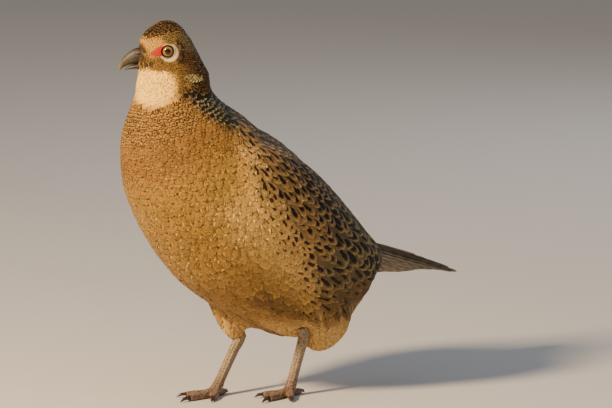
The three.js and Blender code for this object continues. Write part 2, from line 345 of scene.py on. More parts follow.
def plumage_at(points):
    """The plumage at each point. Limits along the body are in mm from the crown, and round it they run from
    -1 on the belly to 1 on the back."""
    back, dorsal, _ = along_spine(points)
    forward, up, _ = head_places(points)
    _, height, side = body_places(points)
    over = dorsal - back_border(back)
    coat = Plumage(len(points))
    # breast and flank: golden brown, with a small dark mark near each tip
    coat.lay(1, "#a17932", "#ae8841", "#513414", dark=0.12, ring=0.34, streak=0.1, bars=0, mottle=0.6,
             length=15, width=10.5, rise=0.6, depth=1.1)
    # the middle of the side: paler gold, a painted highlight where the light falls fully on the flank
    painted_side_highlight = ramp(back, 118, 150) * ramp(back, 285, 235) * ramp(np.abs(dorsal + 0.34), 0.5, 0.2)
    coat.lay(painted_side_highlight, "#d1a353", "#e2b768", "#7d5928", ring=0.25)
    # belly: plain and loose
    belly = ramp(-dorsal, 0.55, 0.85) * ramp(back, 150, 200)
    coat.lay(belly, "#936c30", "#a47f43", dark=0, ring=0.05, streak=0.1, length=18, width=8.5, rise=0.9,
             depth=1.6)
    # upper breast: small close marks
    coat.lay(ramp(back, 118, 88), "#8e642a", "#9d7639", "#38220d", dark=0.15, ring=0.55, streak=0.1,
             length=10, width=8.2, rise=0.5, depth=1.0)
    # flank feathers with a dark spot, before the dark-centred feathers of the back
    coat.lay(ramp(over, -0.42, -0.02) * ramp(back, 90, 115), "#bd9350", "#cda563", "#2e2018", dark=0.45,
             ring=0.1, mottle=0.6, length=15, width=10)
    # mantle, scapulars and wing coverts: black-brown centres with buff edges
    hind_part = ramp(back, 205, 260)
    soft = 0.1 * hind_part
    mantle = ramp(over + 0.12 * hind_part, -0.08 - soft, 0.1 + soft) * ramp(back, 80, 92)
    coat.lay(mantle, "#8f6c3c", "#b48d54", "#100b08", dark=0.46, ring=0, streak=0.15, length=17.5,
             width=9.5, rise=0.8, depth=1.3)
    coat.lay(mantle * ramp(over, 0.15, 0.55), "#5c4830", "#a28258", dark=0.64)
    # rump and hind flank: greyer, longer
    coat.lay(mantle * hind_part, "#5d5035", "#8d7c4f", "#141009", length=24, width=11)
    coat.lay(hind_part * ramp(over, 0.1, -0.3) * ramp(back, 235, 290), "#77511a", "#8d6828", "#281908",
             dark=0.42, length=22, width=9.5)
    # vent: dark ochre in the deepest part of the coat, its own colour deepened with painted shade
    coat.lay(ramp(back, 245, 300) * ramp(-dorsal, 0.15, 0.5), "#604723", "#775a30", "#291a0b", dark=0.3)
    # undertail: rufous brown, its own colour deepened with painted shade
    coat.lay(ramp(back, 318, 345) * ramp(-dorsal, -0.1, 0.3), "#6e4314", "#845821", "#32200b", dark=0.3,
             ring=0.2, length=26)
    # painted shade in the crease between the flank and the belly, where the flank feathers overhang it
    crease = ramp(np.abs(dorsal + 0.87), 0.075, 0.03) * ramp(back, 196, 212) * ramp(back, 292, 272)
    coat.lay(0.8 * crease * ramp(side, 22, 32), "#62461f", "#74552a")
    # thighs: pale plain fluff
    thigh = ramp(height, 84, 62) * ramp(side, 6, 16)
    coat.lay(thigh, "#d2a55f", "#dfb672", dark=0, ring=0, streak=0, length=11, width=4.4, rise=1.0,
             depth=1.2)
    # neck: rows of small scallops
    neck = ramp(back, 84, 70)
    coat.lay(neck, "#91672e", "#a67f3f", "#281706", dark=0.25, ring=1.0, streak=0, mottle=0.2, length=9,
             width=7.8, rise=0.6, depth=1.0)
    # hindneck: nearly black with grey-buff edges
    hind = ramp(dorsal, 0.05, 0.4) * ramp(back, 98, 86) * ramp(back, 26, 46)
    coat.lay(hind, "#2b2316", "#867c5a", "#0d0a06", dark=0.8, ring=0)
    lay_head(coat, forward, up)
    return coat


def lay_head(coat, forward, up):
    """The plumage of the head. Limits are in mm from between the eyes."""
    head = ramp(up, -36, -28)
    coat.lay(head, "#805e27", "#9b7638", "#22160a", dark=0.3, ring=0.1, streak=0.6, mottle=0.4, length=4.6,
             width=2.6, rise=0.4, depth=0.8)
    # crown and nape: black-brown with buff scallops
    crown = head * ramp(up + 0.55 * forward * (forward < 0) + 0.2 * forward * (forward > 0), 9, 15)
    nape = head * ramp(forward, -15, -22)
    coat.lay(np.maximum(crown, nape), "#463011", "#876025", "#0f0904", dark=0.7, ring=0, length=5.6,
             width=3.4, rise=0.7, depth=0.2)
    # behind the eye: grey-brown, streaked
    behind = oval(forward, up, (-17, 6), (10, 13)) * (1 - crown)
    coat.lay(behind, "#6a5638", "#8b7550", "#20160d", dark=0.3, streak=0.7)
    # lores and forehead: golden cream with fine streaks
    coat.lay(oval(forward, up, (15, 5), (11, 9.5)) * (1 - crown), "#d19d47", "#daae5a", "#684317", dark=0,
             ring=0.12, streak=0.3, length=2.8, width=2.2, rise=0.35)
    # over the eye: grey-buff with dark flecks
    coat.lay(oval(forward, up, (-4, 10.5), (12, 4.6)), "#7f6533", "#997e44", "#2a1e0e", dark=0.35,
             ring=0.35, length=3.4, width=2.8)
    # ear coverts: dark brown
    coat.lay(oval(forward, up, (-14.5, -8.5), (9, 9)), "#503711", "#63431a", "#221506", dark=0.3, ring=0,
             streak=0.35, length=5, width=3)
    # a dark line close behind the pale ring
    behind_ring = ramp(np.abs(np.hypot(forward + 1.2, up + 1.3) - 9.9), 1.5, 0.7) * ramp(forward, -4, -7)
    coat.lay(behind_ring, "#2e1e10", "#3f2b18", "#150d07", dark=0.2, length=3, width=2.4)
    # throat bib: plain cream
    bib = oval(forward, up, (13, -28), (19, 16), 0.22)
    coat.lay(bib, "#f8c458", "#fbcd66", "#dfa94f", dark=0, ring=0, streak=0, mottle=0.05, length=5.6,
             width=4.4, rise=0.15, depth=0.8)
    # malar stripe and the specks behind the ear
    malar = oval(forward, up, (3, -12.5), (15, 4.0))
    coat.lay(malar, "#a17633", "#ba9147", "#371f09", dark=0.4, ring=0.7, length=3.2, width=2.8)
    specks = oval(forward, up, (-20, -21), (7.5, 4))
    coat.lay(specks, "#776133", "#d3c386", "#1b1309", dark=0.45, ring=0, length=3.8, width=3.2)
    # dark bristles round the nostrils and on the chin, and painted shade in the crease back from the corner
    # of the mouth
    gape = ramp(np.abs(up + 9.6), 1.6, 0.7) * ramp(forward, 13, 16)
    nostril = oval(forward, up, (25.5, -2.5), (6, 6.5))
    chin = oval(forward, up, (29.5, -20), (4, 6))
    coat.lay(np.maximum(np.maximum(gape, nostril), chin), "#49341e", "#5a4329", "#281b0e", dark=0.2,
             mottle=0.4)


def eye_ring(forward, up):
    """The pale ring of fine bare skin round the eye, widest below and behind."""
    return oval(forward, up, (-1.2, -1.3), (8.1, 7.9), 0.08)


print("plumage fields:", len(COLOUR_FIELDS) + len(NUMBER_FIELDS))

# %% [markdown]
# Under the feathers lies one skin without a seam, made from the solids of head, neck, trunk, wings and
# thighs. A voxel remesh closes the thin cuts between them, and a smoothing that keeps the volume takes off
# the facets. The body is melted further, so that the steps at wings and thighs don't show through the coat.
# Then the skin sinks by the depth of the coat, so that the feathers' tips end at the solids' own outline.

# %% The skin
FLESH = ("head", "neck", "trunk", "wing_left", "wing_right", "thigh_left", "thigh_right")
SKIN_VOXEL = 1.9 * MM


def joined_copy(names, name):
    """Copies of CAD nodes as one mesh object, with doubled vertices merged."""
    bm = bmesh.new()
    for node in names:
        bm.from_mesh(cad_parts[node].data)
    bmesh.ops.remove_doubles(bm, verts=bm.verts, dist=0.01 * MM)
    mesh = bpy.data.meshes.new(name)
    bm.to_mesh(mesh)
    bm.free()
    return new_object(name, mesh)


def baked(obj):
    """Puts the result of an object's modifiers into its mesh, and takes the modifiers off."""
    depsgraph = bpy.context.evaluated_depsgraph_get()
    made = bpy.data.meshes.new_from_object(
        obj.evaluated_get(depsgraph), preserve_all_data_layers=True, depsgraph=depsgraph)
    obj.modifiers.clear()
    obj.data = made
    return obj


def remeshed(obj, voxel):
    modifier = obj.modifiers.new("remesh", "REMESH")
    modifier.mode = "VOXEL"
    modifier.voxel_size = voxel
    modifier.use_smooth_shade = True
    return baked(obj)


EVEN = (0.5, -0.53)  # a step in and a slightly larger one out, so that the form doesn't shrink
MELT = (0.5,)  # a step in alone, which levels every step in the form
SKIN_ROUNDS = 14
MELT_ROUNDS = 45
MELT_BEGINS, MELT_FULL = 84, 112  # mm from the crown


def smooth(mesh, steps, where=None):
    """Moves each vertex towards the mean of its neighbours by each of the steps, one after another."""
    edges = np.empty(len(mesh.edges) * 2, np.int32)
    mesh.edges.foreach_get("vertices", edges)
    a, b = edges.reshape(-1, 2).T
    co = positions(mesh)
    degree = np.bincount(np.concatenate([a, b]), minlength=len(co))[:, None]
    share = 1.0 if where is None else where[:, None]
    for step in steps:
        total = np.stack([
            np.bincount(a, co[b, k], len(co)) + np.bincount(b, co[a, k], len(co)) for k in range(3)
        ], 1)
        co += step * share * (total / degree - co)
    place_vertices(mesh, co)


skin = remeshed(joined_copy(FLESH, "skin"), SKIN_VOXEL)
smooth(skin.data, EVEN * SKIN_ROUNDS)
behind_head, _, _ = along_spine(positions(skin.data))
smooth(skin.data, MELT * MELT_ROUNDS, ramp(behind_head, MELT_BEGINS, MELT_FULL))
co = positions(skin.data)
place_vertices(skin.data, co - normals(skin.data) * plumage_at(co)["depth"][:, None] * MM)
print("skin:", len(skin.data.vertices), "vertices")

# %% [markdown]
# The eye sits in lids of bare skin. Lids are modelled by moving the skin's own vertices near the eye.
# Inside the opening the skin dives behind the eyeball. At its edge a rim stands a little over the ball,
# and outside a shallow fold runs round it before the skin falls back to the cheek.

# %% Lids and red skin
EYE_OPENING = 5.0  # mm, radius
LID_REACH = 11  # mm, how far from the eye's axis the skin is shaped
LID_TOP = 3.9  # mm over the eye's middle


def near_eye(points, side):
    """Forward, up and outwards from one eye's middle, in mm."""
    away = (points - EYES[side]) / MM
    return away @ FACING, away[:, 2], away @ HEAD_LEFT * SIDES[side]


def refine_near_eyes(mesh, reach=13 * MM, rounds=2):
    bm = bmesh.new()
    bm.from_mesh(mesh)
    for _ in range(rounds):
        edges = [
            e for e in bm.edges
            if any((e.verts[0].co - eye).length < reach for eye in EYES.values())
        ]
        bmesh.ops.subdivide_edges(bm, edges=edges, cuts=1, use_grid_fill=True)
    bmesh.ops.triangulate(bm, faces=[f for f in bm.faces if len(f.verts) > 4])
    bm.to_mesh(mesh)
    bm.free()


def shape_lids(mesh, side):
    co = positions(mesh)
    forward, up, out = near_eye(co, side)
    from_axis = np.hypot(forward * 0.95, up * 1.04)
    close = (from_axis < LID_REACH) & (out > -4)
    ball = np.sqrt(np.maximum(EYE_RADIUS**2 - from_axis**2, 0))
    lid = out + (LID_TOP - out) * ramp(from_axis, 9, EYE_OPENING + 0.7)
    fold = -0.35 * np.exp(-(((from_axis - 7) / 0.5) ** 2))
    raised = 0.5 * red_skin(forward, up)
    edge = ramp(from_axis, EYE_OPENING - 0.3, EYE_OPENING + 0.35)
    wanted = (ball - 1.2) * (1 - edge) + (lid + fold + raised) * edge
    shift = np.where(close, wanted - out, 0) * SIDES[side] * MM
    place_vertices(mesh, co + shift[:, None] * HEAD_LEFT)


refine_near_eyes(skin.data)
for side in SIDES:
    shape_lids(skin.data, side)
print("skin with lids:", len(skin.data.vertices), "vertices")

# %% [markdown]
# The skin carries the same markings as the feathers over it, so a gap in the coat never shows a wrong colour.
# They are stored as colours on its vertices, worked out from the same regions.
# Round the eye, where no feathers grow, the skin shows: a dark lid edge, a pale ring and the red triangle.

# %% Colours on the skin
PORE_GAP = 0.5 * MM


def relief(tree, height, deep, strength):
    """The shading of fine relief: a height from 0 to 1 stands for so many m."""
    return add_node(tree, "ShaderNodeBump", {
        "Height": height, "Distance": deep, "Strength": strength}).outputs["Normal"]


def skin_colours(points):
    coat = plumage_at(points)
    share = 0.5 * coat["dark"][:, None]
    colour = coat["ground"] * (1 - share) + coat["centre"] * share
    forward, up, out = head_places(points)
    from_eye = np.hypot(forward, up)
    on_side = ramp(out, 7, 9.5)
    layers = [
        ("#b8a682", eye_ring(forward, up) * on_side),
        ("#9a1502", red_skin(forward, up) * on_side),
        ("#1d1209", ramp(from_eye, EYE_OPENING + 0.9, EYE_OPENING + 0.5) * on_side),
    ]
    for code, mask in layers:
        colour = colour * (1 - mask[:, None]) + np.array(linear(code)) * mask[:, None]
    return np.concatenate([colour, np.ones((len(points), 1))], 1)


give(skin.data, "tone", skin_colours(positions(skin.data)))
give(skin.data, "outwards", normals(skin.data))
skin.data.shade_smooth()

skin_paint, tree, surface = new_paint("bird_skin_and_down")
tone = add_node(tree, "ShaderNodeAttribute", attribute_name="tone")
place = add_node(tree, "ShaderNodeTexCoord")
pores = add_node(tree, "ShaderNodeTexVoronoi", {"Vector": place.outputs["Object"], "Scale": 1 / PORE_GAP})
plug(surface, {"Base Color": tone.outputs["Color"], "Roughness": 0.62, "Specular IOR Level": 0.25,
               "Normal": relief(tree, pores.outputs["Distance"], 0.2 * MM, 0.5)})
skin.data.materials.append(skin_paint)
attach(skin, "root")
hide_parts(*FLESH)
print("skin paint: tone attribute")

# %% [markdown]
# A contour feather is a thin vane, narrow at the root, widest past its middle and round at the tip.
# It is modelled once in a few variants, flat, with its camber stored as a height for later.
# Each is a closed shell of two sheets that meet at the edge, and the edge is frayed a little, as barbs part.

# %% Vane shapes
VANE_THICKNESS = 0.05 * MM


def half_width(along, widest=0.6, root=0.45, point=2.0):
    """Half the width of a vane of width 1, for a share of its length."""
    rising = root + (1 - root) * np.sin(np.clip(along / widest, 0, 1) * np.pi / 2) ** 1.2
    falling = (1 - np.clip((along - widest) / (1 - widest), 0, 1) ** point) ** (1 / point)
    return 0.5 * rising * falling


def vane_mesh(name, rows, columns, seed, fray=0.08, camber=0.1, widest=0.6, point=2.0):
    rng = np.random.default_rng(seed)
    along = np.linspace(0, 1, rows + 1) ** 0.85 * 0.985
    across = np.linspace(-1, 1, columns + 1)
    y, c = np.meshgrid(along, across, indexing="ij")
    edge = np.abs(c) > 0.99
    loose = ramp(y, 0.3, 0.7)
    x = c * half_width(y, widest, point=point)
    x = x * (1 + edge * loose * rng.uniform(-2, 1, y.shape) * fray)
    y = y + loose * edge * rng.uniform(-0.6, 1, y.shape) * fray * 0.5
    y[-1] += rng.uniform(-1, 0.6, columns + 1) * fray * 0.5
    x = x + rng.uniform(-0.12, 0.12) * y**2
    top = np.arange(y.size).reshape(y.shape)
    border = edge.copy()
    border[0] = border[-1] = True
    under = top.copy()
    under[~border] = y.size + np.arange((~border).sum())
    co = np.stack([x, y, np.zeros_like(x)], -1).reshape(-1, 3)
    high = (-camber * c**2 * half_width(y, widest, point=point) * 2).ravel()
    inner = ~border.ravel()
    co = np.concatenate([co, co[inner]])
    share = np.concatenate([y.ravel(), y.ravel()[inner]])
    thick = np.concatenate([np.where(inner, 0.5, 0), np.full(inner.sum(), -0.5)])
    high = np.concatenate([high, high[inner]])
    spot = np.stack([c * 0.5 + 0.5, np.clip(y, 0, 1)], -1).reshape(-1, 2)
    spot = np.concatenate([spot, spot[inner]])
    faces = []
    for sheet, flip in ((top, False), (under, True)):
        a, b, d, e = sheet[:-1, :-1], sheet[:-1, 1:], sheet[1:, 1:], sheet[1:, :-1]
        quads = np.stack([a, b, d, e], -1).reshape(-1, 4)
        faces += (quads[:, ::-1] if flip else quads).tolist()
    mesh = bpy.data.meshes.new(name)
    mesh.from_pydata(co.tolist(), [], faces)
    give(mesh, "camber", high)
    give(mesh, "thick", thick)
    give(mesh, "share", share)
    corners = np.empty(len(mesh.loops), np.int32)
    mesh.loops.foreach_get("vertex_index", corners)
    mesh.uv_layers.new(name="Vane").data.foreach_set("uv", spot[corners].ravel())
    mesh.shade_smooth()
    return mesh


def vane_family(name, variants, **shape):
    family = bpy.data.collections.new(name)
    for seed in range(variants):
        mesh = vane_mesh(f"{name}_{seed}", seed=seed, **shape)
        family.objects.link(bpy.data.objects.new(mesh.name, mesh))
    return family


VANE_SHAPES = {
    "small": dict(variants=4, rows=4, columns=2, fray=0.1, camber=0.06),
    "round": dict(variants=8, rows=6, columns=6, fray=0.26, camber=0.04),
    "lance": dict(variants=8, rows=7, columns=6, fray=0.14, camber=0.06, widest=0.5, point=1.6),
    "soft": dict(variants=6, rows=7, columns=6, fray=0.34, camber=0.05, widest=0.6, point=1.9),
    "flight": dict(variants=3, rows=18, columns=6, fray=0.03, camber=0.05, widest=0.35, point=1.5),
    "scute": dict(variants=1, rows=4, columns=4, fray=0, camber=0.12, widest=0.5, point=2.4),
}
VANES = {name: vane_family(f"vane_{name}", **shape) for name, shape in VANE_SHAPES.items()}

# %% [markdown]
# Geometry Nodes lay the vanes. The input is a cloud of root points that carry how long, wide and raised each
# feather is and which way it lies. A vane is put on each root, made real, and then bent onto the body:
# each of its points goes to the nearest place on the skin, and from there out by its own height.

# %% The tree that lays feathers
def attribute(tree, name, kind="FLOAT"):
    node = add_node(tree, "GeometryNodeInputNamedAttribute", {"Name": name}, data_type=kind)
    return node.outputs["Attribute"]


def maths(tree, operation, *values):
    return add_node(tree, "ShaderNodeMath", dict(enumerate(values)), operation=operation).outputs[0]


def vector_maths(tree, operation, *values):
    return add_node(tree, "ShaderNodeVectorMath", dict(enumerate(values)), operation=operation).outputs[0]


def scaled(tree, vector, factor):
    return add_node(tree, "ShaderNodeVectorMath", {0: vector, "Scale": factor}, operation="SCALE").outputs[0]


def blended(tree, a, b, share):
    """a at share 0 and b at share 1."""
    return vector_maths(tree, "ADD", a, scaled(tree, vector_maths(tree, "SUBTRACT", b, a), share))


def laying_tree():
    tree = bpy.data.node_groups.new("lay_vanes", "GeometryNodeTree")
    for name, kind in (
        ("Geometry", "Geometry"), ("Vanes", "Collection"), ("Body", "Object"), ("Finish", "Material"),
        ("Thickness", "Float"),
    ):
        tree.interface.new_socket(name, in_out="INPUT", socket_type=f"NodeSocket{kind}")
    tree.interface.new_socket("Geometry", in_out="OUTPUT", socket_type="NodeSocketGeometry")
    given = add_node(tree, "NodeGroupInput").outputs
    shapes = add_node(tree, "GeometryNodeCollectionInfo", {
        "Collection": given["Vanes"], "Separate Children": True, "Reset Children": True})
    facing = add_node(tree, "FunctionNodeAxesToRotation", {
        "Primary Axis": attribute(tree, "out", "FLOAT_VECTOR"),
        "Secondary Axis": attribute(tree, "lie", "FLOAT_VECTOR"),
    }, primary_axis="Z", secondary_axis="Y")
    placed = add_node(tree, "GeometryNodeInstanceOnPoints", {
        "Points": given["Geometry"], "Instance": shapes.outputs["Instances"], "Pick Instance": True,
        "Instance Index": attribute(tree, "variant", "INT"), "Rotation": facing.outputs["Rotation"],
        "Scale": attribute(tree, "size", "FLOAT_VECTOR")})
    real = add_node(tree, "GeometryNodeRealizeInstances", {"Geometry": placed.outputs["Instances"]})
    bent = bent_onto_body(tree, given, real.outputs["Geometry"])
    kept = with_bake_map(tree, bent)
    done = add_node(tree, "GeometryNodeSetMaterial", {"Geometry": kept, "Material": given["Finish"]})
    add_node(tree, "NodeGroupOutput", {"Geometry": done.outputs["Geometry"]})
    return tree


def bent_onto_body(tree, given, vanes):
    """Moves each point of the vanes to the skin, and out from it by the point's own height."""
    body = add_node(tree, "GeometryNodeObjectInfo", {"Object": given["Body"]}).outputs["Geometry"]
    here = add_node(tree, "GeometryNodeInputPosition").outputs["Position"]
    nearest = add_node(tree, "GeometryNodeProximity", {"Geometry": body, "Sample Position": here},
                       target_element="FACES")
    normal = add_node(tree, "GeometryNodeSampleNearestSurface", {
        "Mesh": body, "Value": attribute(tree, "outwards", "FLOAT_VECTOR"), "Sample Position": here,
    }, data_type="FLOAT_VECTOR")
    hug = attribute(tree, "hug")
    start = blended(tree, here, nearest.outputs["Position"], hug)
    away = blended(tree, attribute(tree, "out", "FLOAT_VECTOR"), normal.outputs["Value"], hug)
    width = add_node(tree, "ShaderNodeSeparateXYZ", {0: attribute(tree, "size", "FLOAT_VECTOR")}).outputs["X"]
    lift = maths(tree, "MULTIPLY", attribute(tree, "rise"), attribute(tree, "share"))
    high = maths(tree, "ADD", attribute(tree, "high"), lift)
    high = maths(tree, "ADD", high, maths(tree, "MULTIPLY", attribute(tree, "camber"), width))
    high = maths(tree, "ADD", high, maths(tree, "MULTIPLY", attribute(tree, "thick"), given["Thickness"]))
    moved = vector_maths(tree, "ADD", start, scaled(tree, vector_maths(tree, "NORMALIZE", away), high))
    bent = add_node(tree, "GeometryNodeSetPosition", {"Geometry": vanes, "Position": moved})
    return bent.outputs["Geometry"]


def with_bake_map(tree, vanes):
    """OFBake: each vane is a small patch at its root's place on the unrolled skin."""
    root = attribute(tree, "root_uv", "FLOAT_VECTOR")
    patch = add_node(tree, "ShaderNodeSeparateXYZ", {0: root}).outputs["Z"]
    spot = vector_maths(tree, "SUBTRACT", attribute(tree, "Vane", "FLOAT_VECTOR"), (0.5, 0.5, 0))
    uv = vector_maths(tree, "ADD", root, scaled(tree, spot, patch))
    stored = add_node(tree, "GeometryNodeStoreNamedAttribute", {
        "Geometry": vanes, "Name": "OFBake", "Value": uv}, data_type="FLOAT2", domain="CORNER")
    return stored.outputs["Geometry"]


LAYING = laying_tree()
SOCKETS = {item.name: item.identifier for item in LAYING.interface.items_tree if item.in_out == "INPUT"}
print("laying tree:", len(LAYING.nodes), "nodes")

# %% [markdown]
# One paint serves every feather, because the feathers carry their own colours and marks as attributes.
# In the shader a place on the vane is known by how near the outline it is: the centre is dark, the edge pale.
# Some feathers have a dark U inside the edge, some a shaft streak, and the tail has bars. Barbs give ribs.

# %% Feather paint
BARBS = 30  # ribs along one vane
CLUMPS = 11.0  # along one vane
BAR_WAVES = 62.0  # radians along one vane
EDGE_FROM, EDGE_FULL = 0.66, 0.9  # of the way from the shaft to the outline
U_AT, U_REACH = 0.62, 0.25


def eased(tree, value, low, high):
    """0 at low, 1 at high, smooth between."""
    return add_node(tree, "ShaderNodeMapRange", {
        "Value": value, "From Min": low, "From Max": high}, interpolation_type="SMOOTHSTEP").outputs["Result"]


def mixed(tree, a, b, share):
    """Colour a at share 0 and colour b at share 1."""
    return add_node(tree, "ShaderNodeMix", {0: share, 6: a, 7: b}, data_type="RGBA").outputs[2]


def carried(tree, name, output="Color"):
    """What the feather carries under this name."""
    return add_node(tree, "ShaderNodeAttribute", attribute_name=name).outputs[output]


def feather_paint(name):
    """Marks are the dark centre, the U and the streak. Habits are bars, brightness and mottling."""
    paint, tree, surface = new_paint(name)
    vane, mark, habit = (
        add_node(tree, "ShaderNodeSeparateXYZ", {0: carried(tree, field, "Vector")}).outputs
        for field in ("Vane", "mark", "habit")
    )
    seed = maths(tree, "MULTIPLY", carried(tree, "chance", "Fac"), 90.0)
    across = maths(tree, "ABSOLUTE", maths(tree, "MULTIPLY_ADD", vane["X"], 2.0, -1.0))
    along = vane["Y"]
    # barbs run outwards and forwards from the shaft, in clumps that differ on each feather
    on_barb = maths(tree, "MULTIPLY_ADD", across, -0.4, along)
    spot = add_node(tree, "ShaderNodeCombineXYZ", {
        "X": maths(tree, "MULTIPLY", on_barb, CLUMPS),
        "Y": maths(tree, "MULTIPLY", vane["X"], 2.5),
        "Z": seed,
    })
    clumps = add_node(tree, "ShaderNodeTexNoise", {"Vector": spot.outputs[0], "Scale": 1.0, "Detail": 3.0})
    shake = maths(tree, "MULTIPLY", maths(tree, "SUBTRACT", clumps.outputs[0], 0.5), 0.7)
    tip = eased(tree, along, 0.48, 1.0)
    squares = maths(tree, "ADD", maths(tree, "POWER", across, 2.0), maths(tree, "POWER", tip, 2.0))
    outline = maths(tree, "MAXIMUM", maths(tree, "ADD", maths(tree, "SQRT", squares), shake), 0.0)
    dark = eased(tree, outline, mark["X"], maths(tree, "SUBTRACT", mark["X"], 0.16))
    band = maths(tree, "ABSOLUTE", maths(tree, "SUBTRACT", outline, U_AT))
    ring = maths(tree, "MULTIPLY", eased(tree, band, U_REACH, 0.12), mark["Y"])
    shaft = maths(tree, "MULTIPLY", eased(tree, across, 0.2, 0.06), mark["Z"])
    waves = maths(tree, "MULTIPLY_ADD", along, BAR_WAVES, maths(tree, "MULTIPLY", shake, 9.0))
    waves = maths(tree, "SINE", waves)
    bars = maths(tree, "MULTIPLY", eased(tree, waves, -0.1, 0.5), habit["X"])
    flecks = maths(tree, "MULTIPLY", eased(tree, clumps.outputs[0], 0.53, 0.66), habit["Z"])
    marked = maths(tree, "MAXIMUM", maths(tree, "MAXIMUM", dark, ring), maths(tree, "MAXIMUM", shaft, bars))
    marked = maths(tree, "MAXIMUM", marked, flecks)
    rim = eased(tree, outline, EDGE_FROM, EDGE_FULL)
    colour = mixed(tree, carried(tree, "ground"), carried(tree, "edge"), rim)
    colour = mixed(tree, colour, carried(tree, "centre"), marked)
    rib = maths(tree, "SINE", maths(tree, "MULTIPLY", on_barb, math.tau * BARBS))
    uneven = maths(tree, "MULTIPLY", maths(tree, "SUBTRACT", clumps.outputs[0], 0.5), 3.8)
    uneven = maths(tree, "MULTIPLY", uneven, maths(tree, "ADD", habit["Z"], 0.12))
    shade = maths(tree, "MULTIPLY_ADD", rib, 0.06, maths(tree, "ADD", uneven, 1.0))
    colour = scaled(tree, colour, maths(tree, "MULTIPLY", shade, habit["Y"]))
    height = maths(tree, "MAXIMUM", rib, maths(tree, "MULTIPLY", eased(tree, across, 0.12, 0.0), 1.6))
    plug(surface, {"Base Color": colour, "Normal": relief(tree, height, 0.05 * MM, 0.6), "Roughness": 0.75,
                   "Specular IOR Level": 0.18, "Sheen Weight": 0.04, "Sheen Roughness": 0.5})
    return paint


FEATHER = feather_paint("contour_feather_keratin")
print("feather paint:", len(FEATHER.node_tree.nodes), "nodes")

# %% [markdown]
# Feathers grow from the skin at even distances, less than half their own length apart, in rough rows.
# Many candidate points are thrown over the skin, and each is kept if no kept one stands too close.
# Those near a row line come first, which sets the neck's scallops in rough rows.

# %% Where feathers grow
CROWDING = 0.36  # spacing of the roots as a share of the feather's length
ROW_FROM_BILL = (0, 30, 55, 90, 130, 200, 400)  # mm
ROW_SPACING = (1.6, 2.0, 3.9, 4.6, 6.2, 7.4, 9.0)  # mm between rows at those distances
FURTHEST_ROW = 420
ROW_LOOSENESS = 0.25  # 0 would set the roots strictly in rows


def triangle_corners(mesh):
    mesh.calc_loop_triangles()
    corners = np.empty(len(mesh.loop_triangles) * 3, np.int32)
    mesh.loop_triangles.foreach_get("vertices", corners)
    return corners.reshape(-1, 3)


def scatter(mesh, spacing, keep, seed, candidates=26):
    """Root points and their normals. Spacing in mm and keep (0 to 1) are given for each vertex."""
    rng = np.random.default_rng(seed)
    co, out, tri = positions(mesh), normals(mesh), triangle_corners(mesh)
    corner = co[tri]
    first, second = corner[:, 1] - corner[:, 0], corner[:, 2] - corner[:, 0]
    area = np.linalg.norm(np.cross(first, second), axis=1) / 2 / MM**2
    weight = area / spacing[tri].mean(1) ** 2 * (keep[tri].min(1) > 0.5)
    count = int(weight.sum() * candidates)
    pick = rng.choice(len(tri), count, p=weight / weight.sum())
    a, b = np.sqrt(rng.random(count)), rng.random(count)
    share = np.stack([1 - a, a * (1 - b), a * b], 1)[:, :, None]
    points = (corner[pick] * share).sum(1)
    gap = (spacing[tri[pick]] * share[:, :, 0]).sum(1)
    facing = unit((out[tri[pick]] * share).sum(1))
    far = np.linalg.norm(points - BILL_ROOT, axis=1) / MM
    grid = np.arange(0, FURTHEST_ROW)
    rows = np.interp(far, grid, np.cumsum(1 / np.interp(grid, ROW_FROM_BILL, ROW_SPACING)))
    order = np.argsort(np.abs(rows - np.round(rows)) + rng.random(count) * ROW_LOOSENESS)
    tree = KDTree(count)
    for i, point in enumerate(points):
        tree.insert(point, i)
    tree.balance()
    open_spot = np.ones(count, bool)
    kept = []
    for i in order:
        if open_spot[i]:
            kept.append(i)
            for _, j, _ in tree.find_range(points[i], gap[i] * MM):
                open_spot[j] = False
    return points[kept], facing[kept]


def lie_at(points, out):
    """The way the tips point: away from the bill, then towards the tail, and down on the thighs."""
    _, _, headward = along_spine(points)
    _, height, side = body_places(points)
    from_bill = unit(points - BILL_ROOT)
    far = np.linalg.norm(points - BILL_ROOT, axis=1) / MM
    tailward = 0.75 * ramp(far, 60, 150)[:, None]
    lie = from_bill * (1 - tailward) - headward * tailward
    thigh = (ramp(height, 88, 66) * ramp(side, 8, 18))[:, None]
    lie = lie * (1 - thigh) + np.array((0, 0.25, -1.0)) * thigh
    return unit(lie - out * (lie * out).sum(1)[:, None])


NECK_ENDS = 90  # mm from the crown
BAKE_MARGIN = 0.02
PATCH_SHARE = 0.7  # of the gap to the nearest root
PATCH_LIMITS = (0.003, 0.06)


def unrolled(points):
    """Where points lie on the skin unrolled along the spine: angle round it, and mm from the crown."""
    back, dorsal, _ = along_spine(points)
    left = (points - HEAD) @ HEAD_LEFT
    hand = np.where(back < NECK_ENDS, left, (points - BETWEEN_FEET)[:, 0])
    angle = np.arccos(np.clip(dorsal, -1, 1)) * np.sign(hand)
    return np.stack([angle / np.pi, back], 1)


def bake_places(points):
    """OFBake places in the unit square, and a patch side that keeps neighbours apart."""
    uv = unrolled(points)
    uv = (uv - uv.min(0)) / np.maximum(np.ptp(uv, 0), 1e-6) * (1 - 2 * BAKE_MARGIN) + BAKE_MARGIN
    tree = KDTree(len(uv))
    for i, (u, v) in enumerate(uv):
        tree.insert((u, v, 0), i)
    tree.balance()
    nearest = np.array([tree.find_n((u, v, 0), 2)[-1][2] for u, v in uv])
    return np.column_stack([uv, np.clip(PATCH_SHARE * nearest, *PATCH_LIMITS)])


print("rows on the neck:", int(np.sum(1 / np.interp(np.arange(40, 90), ROW_FROM_BILL, ROW_SPACING))))

# %% [markdown]
# The skin is divided into tracts, as on a real bird, and each tract becomes one piece of the coat.
# Its feathers get their size, colours and marks from the plumage at their root, with a little chance,
# so that no two are alike.

# %% Laying a tract
MARKS = ("dark", "ring", "streak")


